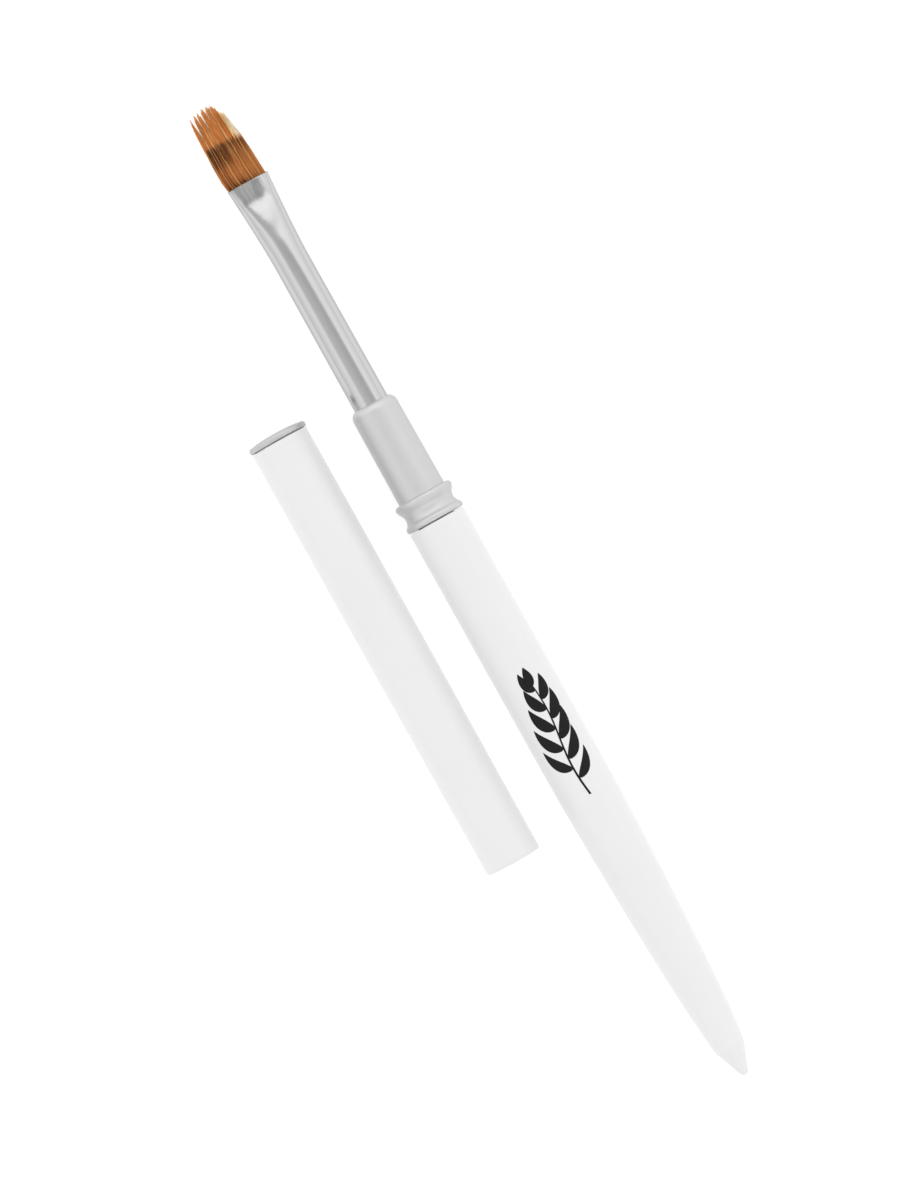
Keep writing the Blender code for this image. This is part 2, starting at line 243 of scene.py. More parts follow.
class Wire:
    """The output of a shader node, so that maths on it is written as sums."""

    def __init__(self, sheet, socket):
        self.sheet = sheet
        self.socket = socket

    def maths(self, operation, *values):
        return self.sheet.node("ShaderNodeMath", {"operation": operation}, dict(enumerate(values)))

    def __add__(self, other):
        return self.maths("ADD", self, other)

    __radd__ = __add__

    def __sub__(self, other):
        return self.maths("SUBTRACT", self, other)

    def __rsub__(self, other):
        return self.maths("SUBTRACT", other, self)

    def __mul__(self, other):
        return self.maths("MULTIPLY", self, other)

    __rmul__ = __mul__

    def __truediv__(self, other):
        return self.maths("DIVIDE", self, other)

    def __pow__(self, other):
        return self.maths("POWER", self, other)

    def at_least(self, other):
        return self.maths("MAXIMUM", self, other)

    def step(self, start, end):
        """0 below start and 1 above end, eased in between. Start may be the larger one, for a fall."""
        ends = {"Value": self, "From Min": start, "From Max": end}
        return self.sheet.node("ShaderNodeMapRange", {"interpolation_type": "SMOOTHSTEP"}, ends)


class Sheet:
    """A node tree that is filled in from the outputs it starts with to the shader."""

    def __init__(self, tree):
        self.tree = tree
        tree.nodes.clear()

    def node(self, kind, settings=None, inputs=None, output=0):
        """Adds a node: its settings first, then the value or wire of each input, and returns one output."""
        made = self.tree.nodes.new(kind)
        for name, value in (settings or {}).items():
            if name == "stops":
                stops = made.color_ramp.elements
                while len(stops) < len(value):
                    stops.new(0.5)
                for stop, (place, colour) in zip(stops, value):
                    stop.position = place
                    stop.color = (*colour, 1.0)
            else:
                setattr(made, name, value)
        for key, value in (inputs or {}).items():
            socket = made.inputs[key]
            if isinstance(value, Wire):
                self.tree.links.new(value.socket, socket)
            else:
                socket.default_value = value
        return Wire(self, made.outputs[output]) if len(made.outputs) else None

    def place(self):
        """The object's own coordinates, in metres."""
        return self.node("ShaderNodeTexCoord", output="Object")

    def apart(self, vector):
        """The x, y and z of a vector, one wire each."""
        return [self.node("ShaderNodeSeparateXYZ", inputs={0: vector}, output=axis) for axis in range(3)]

    def vector(self, x, y, z):
        return self.node("ShaderNodeCombineXYZ", inputs={0: x, 1: y, 2: z})

    def scaled(self, vector, x, y, z):
        return self.node("ShaderNodeVectorMath", {"operation": "MULTIPLY"}, {0: vector, 1: (x, y, z)})

    def noise(self, vector, scale, detail=2.0, roughness=0.5):
        inputs = {"Vector": vector, "Scale": scale, "Detail": detail, "Roughness": roughness}
        return self.node("ShaderNodeTexNoise", inputs=inputs)

    def blend(self, share, first, second):
        """Two colours, the second one laid over the first by a share from 0 to 1."""
        settings = {"data_type": "RGBA", "blend_type": "MIX", "clamp_result": False}
        return self.node("ShaderNodeMix", settings, {0: share, 6: first, 7: second}, output=2)

    def bump(self, height, distance, strength=1.0):
        """A normal bent by a height of 0 to 1, which stands for a distance in millimetres."""
        inputs = {"Height": height, "Distance": distance * MM, "Strength": strength}
        return self.node("ShaderNodeBump", inputs=inputs)

    def surface(self, **inputs):
        """The shader that ends the sheet. Input names are written with _ for a space."""
        named = {name.replace("_", " "): value for name, value in inputs.items()}
        shader = self.node("ShaderNodeBsdfPrincipled", inputs=named)
        self.node("ShaderNodeOutputMaterial", inputs={0: shader})

    def metal(self, colour, roughness, normal, edge_tint):
        tint = grey(edge_tint)
        self.surface(Base_Color=colour, Metallic=1.0, Roughness=roughness, Normal=normal, Specular_Tint=tint)


def new_finish(name):
    material = bpy.data.materials.new(name)
    material.use_nodes = True
    return material, Sheet(material.node_tree)


def screen(red, green, blue):
    """A colour given as 0 to 255 on a screen, turned into light: each part goes through its curve."""
    level = np.array([red, green, blue]) / 255
    light = np.where(level <= 0.04045, level / 12.92, ((level + 0.055) / 1.055) ** 2.4)
    return tuple(float(part) for part in light)


def shade(red, green, blue):
    """The same with its alpha, for a colour socket."""
    return (*screen(red, green, blue), 1.0)


def grey(level):
    return (level, level, level, 1.0)


def lacquer_finish():
    """White satin lacquer: faintly cloudy, with a fine sprayed skin and sparse dust."""
    material, sheet = new_finish("white_lacquer_satin")
    place = sheet.place()
    cloud = sheet.noise(place, scale=90.0, detail=3.0)
    sprayed = sheet.noise(place, scale=1100.0, detail=3.0, roughness=0.6)
    dust = sheet.noise(place, scale=5200.0, detail=1.0).step(0.70, 0.78)
    white = sheet.blend(cloud, grey(0.742), grey(0.770))
    colour = sheet.blend(dust * 0.10, white, (0.55, 0.55, 0.54, 1.0))
    sheet.surface(
        Base_Color=colour,
        Roughness=0.30 + 0.08 * cloud + 0.06 * sprayed,
        Normal=sheet.bump(sprayed + 0.5 * dust, distance=0.004, strength=0.35),
        Coat_Weight=0.25,
        Coat_Roughness=0.18,
    )
    return material


def turned_finish(name, axis_x, tone):
    """Bright-turned aluminium. Its rings follow the sum of the station and the distance from the axis, so
    they run round a barrel and round the end of it alike."""
    material, sheet = new_finish(name)
    place = sheet.place()
    x, y, z = sheet.apart(place)
    across = x - axis_x * MM
    above = z - AXIS_HEIGHT * MM
    distance = (across * across + above * above) ** 0.5
    run = distance + y
    fine = sheet.noise(sheet.vector(0.0, run, 0.0), scale=14000.0, detail=2.0, roughness=0.7)
    coarse = sheet.noise(sheet.vector(0.0, run, 0.0), scale=2600.0, detail=2.0, roughness=0.6)
    cloud = sheet.noise(place, scale=420.0, detail=3.0, roughness=0.6)
    grain = sheet.noise(place, scale=9000.0, detail=2.0, roughness=0.6)
    dull = sheet.blend(fine, grey(tone * 0.93), grey(tone * 1.05))
    colour = sheet.blend(cloud * 0.5, dull, grey(tone * 0.98))
    roughness = 0.36 + 0.14 * fine + 0.08 * cloud
    normal = sheet.bump(fine + 0.6 * coarse + 0.25 * grain, distance=0.012, strength=1.0)
    sheet.metal(colour, roughness, normal, edge_tint=0.80)
    return material


def drawn_finish():
    """Drawn tube: hair-fine lines along it from the die, and a soft grain over them. Darker streaks on the
    land are painted shade for its streaky reflections, and a brown lip is a painted shadow where the hair
    meets the metal."""
    material, sheet = new_finish("drawn_ferrule_satin")
    place = sheet.place()
    _, y, _ = sheet.apart(place)
    lines = sheet.noise(sheet.scaled(place, 1.0, 0.03, 1.0), scale=9000.0, detail=2.0, roughness=0.6)
    grain = sheet.noise(place, scale=6500.0, detail=2.0, roughness=0.6)
    cloud = sheet.noise(place, scale=260.0, detail=3.0, roughness=0.6)
    colour = sheet.blend(grain, grey(0.55), grey(0.61))
    streaks = sheet.noise(sheet.scaled(place, 1.0, 0.22, 1.0), scale=800.0, detail=2.0)
    # Painted shade: darker streaks on the land stand for its streaky dark reflections.
    painted_shade_streaks = streaks.step(0.42, 0.62)
    at_land = y.step((MOUTH - 4.2) * MM, (MOUTH - 2.6) * MM)
    colour = sheet.blend(painted_shade_streaks * at_land * 0.75, colour, grey(0.40))
    # Painted shadow: the lip is browned where the hair meets the metal.
    painted_lip_shadow = y.step((MOUTH - 0.16) * MM, (MOUTH - 0.04) * MM)
    colour = sheet.blend(painted_lip_shadow * 0.8, colour, shade(132, 98, 70))
    roughness = 0.10 + 0.05 * lines + 0.05 * grain + 0.03 * cloud
    normal = sheet.bump(lines + 0.6 * grain, distance=0.0012, strength=0.5)
    sheet.metal(colour, roughness, normal, edge_tint=0.62)
    return material


def ink_finish():
    """Screen-printed black ink: slightly grey, with pinholes and a dry grain."""
    material, sheet = new_finish("printed_ink")
    place = sheet.place()
    grain = sheet.noise(place, scale=4200.0, detail=3.0, roughness=0.6)
    pinhole = sheet.noise(place, scale=2400.0, detail=1.0).step(0.74, 0.80)
    black = sheet.blend(grain, grey(0.006), grey(0.014))
    colour = sheet.blend(pinhole * 0.3, black, grey(0.10))
    roughness = 0.42 + 0.15 * grain
    normal = sheet.bump(grain, distance=0.002, strength=0.4)
    sheet.surface(Base_Color=colour, Roughness=roughness, Specular_IOR_Level=0.14, Normal=normal)
    return material


# Distance beyond the mouth, and the hair's colour there as on a screen. The darkest tones at the mouth are
# painted shadow where the hair leaves the metal.
HAIR_TONES = [
    (TONE_START, (60, 34, 16)),
    (0.32, (88, 50, 25)),
    (0.75, (164, 100, 52)),
    (2.0, (196, 122, 64)),
    (3.4, (176, 106, 54)),
    (4.6, (140, 82, 38)),
    (5.9, (112, 64, 28)),
    (6.7, (116, 68, 30)),
    (7.2, (204, 124, 62)),
    (9.4, (216, 132, 66)),
    (11.2, (236, 152, 80)),
    (12.4, (246, 176, 104)),
    (HAIR_LENGTH, (252, 206, 150)),
]


def tone_stops(strength=1.0):
    """The tones as stops of a ramp that runs from 0 at the roots to 1 at the tips."""
    low, high = HAIR_TONES[0][0], HAIR_TONES[-1][0]
    return [
        ((distance - low) / (high - low), tuple(strength * part for part in screen(*tone)))
        for distance, tone in HAIR_TONES
    ]


def hair_finish():
    """Two-tone sable. The strand's map holds its own chance in U and the distance beyond the mouth in V, the
    side attribute is how far to the right it is rooted, and the pale attribute how fair it is. The tone goes
    by distance, and chance moves the band's edge and lightens or reddens whole strands."""
    material, sheet = new_finish("copper_hair_strands")
    chart = sheet.node("ShaderNodeUVMap", {"uv_map": "strand"})
    chance, along, _ = sheet.apart(chart)
    side = sheet.node("ShaderNodeAttribute", {"attribute_name": "side"}, output="Fac")
    pale = sheet.node("ShaderNodeAttribute", {"attribute_name": "pale"}, output="Fac")
    shifted = along + 0.045 * (chance - 0.5) + 0.045 * side.step(0.5, 1.0)
    tone = sheet.node("ShaderNodeValToRGB", {"stops": tone_stops()}, {0: shifted})
    place = sheet.place()
    streak = sheet.noise(sheet.scaled(place, 1.0, 0.05, 1.0), scale=2400.0, detail=2.0, roughness=0.6)
    root_side = side.step(-0.1, 0.7) * along.step(0.62, 0.30)
    honey = sheet.blend(root_side * 0.60, tone, shade(196, 128, 68))
    left_root = side.step(0.0, -0.7) * along.step(0.45, 0.25)
    honey = sheet.blend(left_root * 0.55, honey, shade(136, 72, 34))
    in_band = along.step(0.30, 0.42) * along.step(0.60, 0.55)
    left_band = in_band * side.step(0.05, -0.25) * streak.step(0.34, 0.56)
    banded = sheet.blend(left_band * 0.92, honey, shade(62, 36, 12))
    lighter = sheet.blend(chance.step(0.60, 1.0) * 0.60, banded, shade(238, 176, 104))
    redder = sheet.blend(chance.step(0.40, 0.0) * 0.55, lighter, shade(134, 60, 26))
    gold_edge = side.step(-0.90, -0.97) * (0.5 + 0.5 * along.step(0.40, 0.55))
    gilded = sheet.blend(gold_edge * 0.75, redder, shade(244, 166, 84))
    straw, cream = shade(255, 226, 166), shade(255, 240, 220)
    fair = sheet.blend(side.step(0.65, 0.95), straw, cream)
    blond = sheet.blend(pale * along.step(0.52, 0.62), gilded, fair)
    roughness = 0.42 + 0.2 * streak
    sheet.surface(Base_Color=blond, Roughness=roughness, Specular_IOR_Level=0.18)
    return material


def heart_finish():
    """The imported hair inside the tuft: the same tones kept in shade, with streaks along it."""
    material, sheet = new_finish("copper_hair_heart")
    place = sheet.place()
    _, y, _ = sheet.apart(place)
    along = (y - (MOUTH + TONE_START) * MM) / ((HAIR_LENGTH - TONE_START) * MM)
    tone = sheet.node("ShaderNodeValToRGB", {"stops": tone_stops(strength=0.6)}, {0: along})
    streak = sheet.noise(sheet.scaled(place, 1.0, 0.04, 1.0), scale=5200.0, detail=3.0, roughness=0.7)
    colour = sheet.blend(streak.step(0.35, 0.7) * 0.6, tone, shade(80, 42, 18))
    normal = sheet.bump(streak, distance=0.05, strength=0.8)
    sheet.surface(Base_Color=colour, Roughness=0.5 + 0.2 * streak, Specular_IOR_Level=0.15, Normal=normal)
    return material


def resin_finish():
    """Amber set resin with trapped bubbles and a wicked-up surface."""
    material, sheet = new_finish("amber_resin_set")
    place = sheet.place()
    cloud = sheet.noise(place, scale=900.0, detail=3.0, roughness=0.6)
    bubble = sheet.noise(place, scale=3800.0, detail=1.0).step(0.66, 0.74)
    amber = sheet.blend(cloud, shade(150, 92, 34), shade(206, 146, 66))
    colour = sheet.blend(bubble * 0.6, amber, shade(236, 200, 130))
    normal = sheet.bump(cloud - 0.6 * bubble, distance=0.03, strength=0.5)
    sheet.surface(Base_Color=colour, Roughness=0.18 + 0.2 * cloud, Normal=normal, Coat_Weight=0.3)
    return material


def thread_finish():
    """Waxed thread: cream, with a fine twist and darker patches of wax."""
    material, sheet = new_finish("waxed_thread_wound")
    place = sheet.place()
    twist = sheet.noise(place, scale=7000.0, detail=2.0, roughness=0.6)
    wax = sheet.noise(place, scale=1200.0, detail=3.0, roughness=0.5)
    cream = sheet.blend(twist, shade(196, 180, 146), shade(232, 220, 190))
    colour = sheet.blend(wax.step(0.5, 0.75) * 0.4, cream, shade(176, 140, 90))
    normal = sheet.bump(twist, distance=0.02, strength=0.8)
    sheet.surface(Base_Color=colour, Roughness=0.55 + 0.2 * twist, Normal=normal)
    return material


# ---------------------------------------------------------------------------
# Handle and connector
# ---------------------------------------------------------------------------

def ogive_radius(run):
    """Half the tail's thickness at a run behind the start of its taper: the handle's radius, times one less a
    power of the share of the taper, to the power of one over its fullness."""
    share = np.clip(run / TAIL_OGIVE_LENGTH, 0.0, 1.0)
    return HANDLE_RADIUS * (1 - share**OGIVE_RUN_POWER) ** (1 / OGIVE_FULLNESS)


def handle_radius(behind_front):
    """Half the handle's thickness at a distance behind its front."""
    return ogive_radius(np.maximum(0.0, behind_front - (HANDLE_LENGTH - TAIL_OGIVE_LENGTH)))


def make_handle(finish):
    """Blind bore, straight barrel, ogive tail, then a cone to a rounded tip, turned round the axis. The
    ogive's stations crowd towards its end, where it curves most."""
    bore = TENON_RADIUS + PRESS_GAP
    bore_end = PRESS_GAP - TENON_LENGTH
    edge = HANDLE_FRONT_EDGE
    barrel_start, barrel_end = -0.2, TAIL_OGIVE_LENGTH + 0.6 - HANDLE_LENGTH
    crowded = 1 - (1 - np.linspace(0.0, 1.0, 72)) ** 1.35
    run = (TAIL_OGIVE_LENGTH - TAIL_TIP_LENGTH) * crowded
    ogive = np.stack([ogive_radius(run), TAIL_OGIVE_LENGTH - HANDLE_LENGTH - run], axis=1)
    tip = arc((0.0, TAIL_TIP_RADIUS - HANDLE_LENGTH), TAIL_TIP_RADIUS, -22, -90, step=6)
    cone_start = ogive[-1] - (0.10 * ogive[-1, 0], 0.12 * TAIL_TIP_LENGTH)
    outline = outline_of(
        (0.0, bore_end),
        (bore, bore_end),
        (bore, 0.0),
        arc((HANDLE_RADIUS - edge, -edge), edge, 90, 0, step=15),
        straight((HANDLE_RADIUS, barrel_start), (HANDLE_RADIUS, barrel_end), 40),
        ogive,
        straight(cone_start, tip[0], 9),
        tip[1:-1],
        (0.0, -HANDLE_LENGTH),
    )
    return turned("handle_barrel", outline, BRUSH_X, HANDLE_FRONT, finish)


def make_connector(finish):
    """Ferrule bore, cap sleeve with a rounded shoulder, stop bead, cove, flange bead and tenon. Stations run
    forwards from the collar's rear."""
    bore = NECK_RADIUS + SEATED_SWELL + PRESS_GAP
    bore_ease = 0.10
    sleeve_front = COLLAR_LENGTH + SLEEVE_LENGTH
    bore_bottom = sleeve_front - FERRULE_SEATED - PRESS_GAP
    inner = SLEEVE_FRONT_RADIUS - SLEEVE_SHOULDER
    lip = acos((bore + SLEEVE_LIP - inner) / SLEEVE_SHOULDER)
    shoulder_centre = (inner, sleeve_front - SLEEVE_SHOULDER * sin(lip))
    sleeve_start = (SLEEVE_FRONT_RADIUS, shoulder_centre[1] - 0.3)
    sleeve_end = (SLEEVE_REAR_RADIUS, COLLAR_LENGTH + 0.06)
    stop_centre = (COLLAR_RADIUS - STOP_BEAD, COLLAR_LENGTH - STOP_BEAD)
    flange_centre = (COLLAR_RADIUS - FLANGE_BEAD, FLANGE_STATION)
    cove_centre = (COLLAR_RADIUS - COVE_DEPTH + COVE, COVE_STATION)
    outline = outline_of(
        (0.0, bore_bottom),
        (bore, bore_bottom),
        (bore, sleeve_front - 0.34),
        (bore + bore_ease, sleeve_front - bore_ease),
        arc(shoulder_centre, SLEEVE_SHOULDER, np.degrees(lip), 0, step=4),
        straight(sleeve_start, sleeve_end, 24),
        (SLEEVE_REAR_RADIUS + 0.02, COLLAR_LENGTH),
        arc(stop_centre, STOP_BEAD, 90, -45, step=5),
        arc(cove_centre, COVE, 136, 214, step=4),
        arc(flange_centre, FLANGE_BEAD, 45, -30, step=5),
        (COLLAR_RADIUS - COLLAR_REAR_STEP, 0.0),
        (TENON_RADIUS, 0.0),
        (TENON_RADIUS, TENON_CHAMFER - TENON_LENGTH),
        (TENON_RADIUS - TENON_CHAMFER, -TENON_LENGTH),
        (0.0, -TENON_LENGTH),
    )
    return turned("connector_body", outline, BRUSH_X, COLLAR_REAR, finish)


# ---------------------------------------------------------------------------
# Ferrule, and what it holds
# ---------------------------------------------------------------------------

# The jaws' land at the mouth, how softly the ramp leaves it, and how deep and long the ramp is
LAND = 2.95
LAND_EASE = 0.25
LAND_SLOPE = 0.018
RAMP_DEPTH = 1.15
RAMP_LENGTH = 7.5

# The jaws start to touch at the first distance behind the mouth, and press fully after the second
PRESS_START = 10.5
PRESS_EASE = 5.0

# How far out the flat reaches from the middle, how that narrows along the ramp, and how it leans at the mouth
FLAT_REACH = 2.05
FLAT_FULL_TO = 3.6
FLAT_NARROWING = 0.30
FLAT_LEAN_FROM = 3.9
FLAT_LESS_AT_MOUTH = 0.10
FLAT_LEAN = 0.95

# How round the fold is where the jaw's flat meets the side, in the middle, and how much less on the right
FOLD = 0.34
FOLD_LESS_ON_RIGHT = 0.08


def eased(share):
    """0 to 1 with no slope at either end: 3 s^2 - 2 s^3."""
    share = np.clip(share, 0.0, 1.0)
    return share * share * (3 - 2 * share)


def ferrule_half_width(behind):
    """Half the ferrule's width: the neck's radius, swelling a little into its seat, and growing towards the
    mouth by the 1.5th power of the share of the flattening."""
    seated = np.clip((behind - FLATTENED) / (FERRULE_EXPOSED - FLATTENED), 0.0, 1.0)
    share = np.clip(1 - behind / FLATTENED, 0.0, 1.0)
    return NECK_RADIUS + SEATED_SWELL * seated + (MOUTH_HALF_WIDTH - NECK_RADIUS) * share**1.5


def jaw_height(behind):
    """Half the gap of the jaws: the neck's radius less a drop, which follows one less a hyperbolic tangent of
    the distance past the land, and a slight slope along the land itself."""
    past_land = LAND_EASE * np.logaddexp(0.0, (behind - LAND) / LAND_EASE)
    ramp = RAMP_DEPTH * (1 - np.tanh(past_land / RAMP_LENGTH))
    slope = LAND_SLOPE * np.maximum(0.0, LAND - behind)
    return ferrule_half_width(np.maximum(behind, FLATTENED)) - ramp - slope


def flat_reach(behind, turn):
    """How far out from the middle the jaws' flat reaches: it narrows along the ramp, and at the mouth it
    reaches further on the left than on the right."""
    reach = FLAT_REACH - FLAT_NARROWING * np.maximum(0.0, behind - FLAT_FULL_TO)
    at_mouth = np.clip(1 - behind / FLAT_LEAN_FROM, 0.0, 1.0)
    reach = np.clip(reach, 0.0, FLAT_REACH) - FLAT_LESS_AT_MOUTH * at_mouth
    return np.maximum(0.0, reach - FLAT_LEAN * at_mouth * np.cos(turn))


def ferrule_skin(behind, turn, inset):
    """Points of the ferrule's skin, across and up from its axis. A section is an ellipse, tall enough to meet
    the jaws where their flat ends. Its height is the smaller of the ellipse's and the jaws', and the fold
    between the two is a parabola."""
    half_width = ferrule_half_width(behind) - inset
    jaw = jaw_height(behind) - inset
    pressing = eased((PRESS_START - behind) / PRESS_EASE)
    reach_share = np.clip(flat_reach(behind, turn) / (half_width + inset), 0.0, 0.9)
    side_height = jaw * (1 + (1 / np.sqrt(1 - reach_share**2) - 1) * pressing)
    x = half_width * np.cos(turn)
    height = side_height * np.abs(np.sin(turn))
    fold = FOLD - FOLD_LESS_ON_RIGHT * np.cos(turn)
    share = np.clip(0.5 + 0.5 * (jaw - height) / fold, 0.0, 1.0)
    pressed = jaw * (1 - share) + height * share - fold * share * (1 - share)
    upwards = np.where(np.sin(turn) >= 0, 1.0, -1.0)
    return x, upwards * (height + (pressed - height) * pressing)


def ferrule_rings(behind, inset, sides):
    """Rings of points in place, one for each distance behind the mouth, set in from the ferrule's skin."""
    turn = (2 * pi * (np.arange(sides) + 0.5) / sides)[None, :]
    behind = np.asarray(behind)[:, None]
    x, z = ferrule_skin(behind, turn, np.asarray(inset)[:, None])
    grid = np.stack([BRUSH_X + x, MOUTH - behind + 0 * turn, AXIS_HEIGHT + z], axis=-1)
    return grid.reshape(-1, 3)


def make_ferrule(finish):
    """Outer skin from the rear to a rounded mouth, and inner skin back again, one wall apart."""
    sides = 256
    rear = FERRULE_EXPOSED + FERRULE_SEATED
    neck = np.linspace(FERRULE_EXPOSED + 0.4, FLATTENED + 0.1, 30)
    ramp_and_land = np.arange(FLATTENED - 0.06, 0.25, -0.16)
    outer = np.concatenate([[rear], neck, ramp_and_land])
    lip = [0.03, 0.008, 0.0, 0.0, 0.0, 0.01]
    lip_inset = [0.0, 0.004, 0.016, 0.07, 0.20, 0.24]
    inner = np.concatenate([np.linspace(0.1, 11.0, 34), [16.0, 24.0, 32.0, rear]])
    behind = np.concatenate([outer, lip, inner])
    inset = np.concatenate([0 * outer, lip_inset, FERRULE_WALL + 0 * inner])
    faces = ring_faces(len(behind), sides, closes=True)
    return skin("ferrule_tube", ferrule_rings(behind, inset, sides), [faces], finish, sharp_angle=50)


# The resin block and the thread round its waist, as distances behind the mouth and insets from the skin
RESIN_FRONT = 2.0
RESIN_REAR = 12.0
RESIN_INSET = 0.36
RESIN_END_INSET = 0.60
WAIST_FRONT = 8.3
WAIST_REAR = 10.1
WAIST_INSET = 0.76
THREAD_TURNS = 8
THREAD_PITCH = 0.2
THREAD_RIDGE = 0.08


def make_resin(finish):
    """Resin round the hair roots: the ferrule's own sections, set in from its wall, with chamfered ends and a
    waist under the thread."""
    sides, step = 96, 0.02
    front_stretch = np.linspace(WAIST_FRONT - 0.2, RESIN_FRONT + 0.15, 24)
    behind = np.concatenate(
        [
            [RESIN_REAR, RESIN_REAR, RESIN_REAR - 0.1],
            [WAIST_REAR + step, WAIST_REAR, WAIST_FRONT, WAIST_FRONT - step],
            front_stretch,
            [RESIN_FRONT + 0.05, RESIN_FRONT, RESIN_FRONT],
        ]
    )
    inset = np.full(len(behind), RESIN_INSET)
    inset[[0, -1]] = RESIN_END_INSET
    inset[(behind == WAIST_REAR) | (behind == WAIST_FRONT)] = WAIST_INSET
    return capped_grid("resin_block", ferrule_rings(behind, inset, sides), len(behind), sides, finish)


def make_thread(finish):
    """Eight turns of thread in the resin's waist: the ferrule's own sections again, with half a sine as a
    ridge for each turn, closed on themselves through the waist."""
    sides = 96
    wound = np.linspace(0.0, THREAD_TURNS, 8 * THREAD_TURNS + 1)
    start = WAIST_FRONT + PRESS_GAP
    valley, inside = WAIST_INSET - 0.29, WAIST_INSET - 0.04
    behind = np.concatenate([start + THREAD_PITCH * wound, [start + THREAD_PITCH * THREAD_TURNS, start]])
    inset = np.concatenate([valley - THREAD_RIDGE * np.abs(np.sin(pi * wound)), [inside, inside]])
    faces = ring_faces(len(behind), sides, closes=True)
    return skin("thread_winding", ferrule_rings(behind, inset, sides), [faces], finish, sharp_angle=0)


# ---------------------------------------------------------------------------
# Hair
# ---------------------------------------------------------------------------

# How far the tips reach beyond the mouth, by place across the tuft from -1 on its left to 1 on its right
TIP_LINE = [
    (-1.00, 12.1), (-0.89, 12.5), (-0.61, 12.95), (-0.40, 12.9), (-0.10, 13.15), (0.20, 13.1), (0.45, 12.9),
    (0.52, 12.6), (0.60, 11.9), (0.68, 11.4), (0.84, 11.1), (0.91, 9.3), (0.97, 7.9), (1.00, 7.0),
]

# The middles of the locks, and by lock how far its edges fall short and how much it draws together
LOCKS = [-0.90, -0.61, -0.40, -0.10, 0.19, 0.42, 0.58, 0.72, 0.85, 0.95]
LOCK_HALF_WIDTH = 0.14
LOCK_FALL = [(-0.9, 2.9), (-0.4, 1.35), (0.19, 0.65), (1.0, 0.4)]
LOCK_GATHER = [(-0.9, 0.26), (-0.5, 0.22), (0.3, 0.10)]
LOCKS_LEVEL_FROM = 0.3

# The tuft's sides at the mouth, how far the left one swells, and how both lean in for each millimetre
TUFT_LEFT = 3.06
TUFT_RIGHT = 3.02
TUFT_SWELL = 0.44
TUFT_SWELL_RUN = 0.7
TUFT_LEFT_LEAN = 0.012
TUFT_RIGHT_LEAN = 0.058

# Half its thickness, and where it starts to round off towards its sides, from its middle
TUFT_HALF_WIDTH = 3.0
TUFT_HALF_THICKNESS = 1.20
ROUNDS_FROM = 1.85
ROUNDS_OVER = 1.25

STRANDS = 1800
STRAND_RINGS = 12
STRAND_SIDES = 3
STRAND_RADIUS = 0.066
SWAY = 0.035
TIP_RIPPLE = 0.22
TIP_RIPPLE_WIDTH = 0.085

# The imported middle
HEART_END = 7.6
HEART_SHRINKS_FROM = 5.0
HEART_SHARE = 0.88
HEART_HALF_THICKNESS = 1.02

# Fair strands: the worn right side, the left edge's slit, and three thin lines as (place, half width)
FAIR_FROM = 0.60
FAIR_SLIT = (-0.84, -0.72)
FAIR_LINES = [(-0.50, 0.03), (-0.24, 0.025), (0.30, 0.015)]


def between(pairs, place):
    """A value read from (place, value) pairs along straight lines."""
    places, values = np.array(pairs).T
    return np.interp(place, places, values)


def tuft_sides(beyond):
    """Left and right side of the tuft at a distance beyond the mouth: it swells to the left just past the
    metal, and its right side leans in steadily."""
    out = np.maximum(beyond, 0.0)
    left = TUFT_LEFT_LEAN * out - TUFT_LEFT - TUFT_SWELL * (1 - np.exp(-out / TUFT_SWELL_RUN))
    right = TUFT_RIGHT - TUFT_RIGHT_LEAN * out
    return left, right


def strand_reach(chance, across, lock):
    """How far each strand reaches: the line of the tips, less a fall from the middle of its lock to its
    edges, a fine ripple and a little chance. One strand in ten ends short."""
    count = len(across)
    line = between(TIP_LINE, np.where(lock < LOCKS_LEVEL_FROM, lock, across))
    off_middle = np.abs((across - lock) / LOCK_HALF_WIDTH) ** 1.4
    reach = line - between(LOCK_FALL, lock) * off_middle * chance.uniform(0.65, 1.1, count)
    reach = reach - TIP_RIPPLE * (1 + np.cos(across * 2 * pi / TIP_RIPPLE_WIDTH))
    reach = reach - np.abs(chance.normal(0.0, 0.10, count))
    reach = np.minimum(reach, HAIR_LENGTH - 0.02)
    short = chance.uniform(0.0, 1.0, count) < 0.10
    return np.where(short, reach * chance.uniform(0.75, 0.95, count), reach)


def strand_lines(across, depth, lock, beyond, phase):
    """Where each strand's middle line runs, across and up from the axis. It keeps its share of the way across
    the tuft and is drawn towards the middle of its lock over the outer half. The tuft thins towards its sides
    as a circle does and towards its tips by a power, and every strand sways as a slow sine."""
    travelled = beyond / HAIR_LENGTH
    gather = between(LOCK_GATHER, lock)[:, None] * eased((travelled - 0.45) / 0.5)
    share = across[:, None] + (lock - across)[:, None] * gather
    left, right = tuft_sides(beyond)
    at_side = np.maximum(0.0, np.abs(TUFT_HALF_WIDTH * across) - ROUNDS_FROM) / ROUNDS_OVER
    half_thickness = TUFT_HALF_THICKNESS * np.sqrt(np.maximum(0.04, 1 - at_side**2))
    thinning = 1 - 0.60 * np.clip(travelled, 0.0, 1.0) ** 1.3
    sway = SWAY * np.clip(beyond / 6.0, 0.0, 1.5)
    x = left + (right - left) * (share + 1) / 2 + sway * np.sin(beyond * 0.9 + phase[0])
    z = (half_thickness * depth)[:, None] * thinning + sway * np.sin(beyond * 1.1 + phase[1])
    return x, z


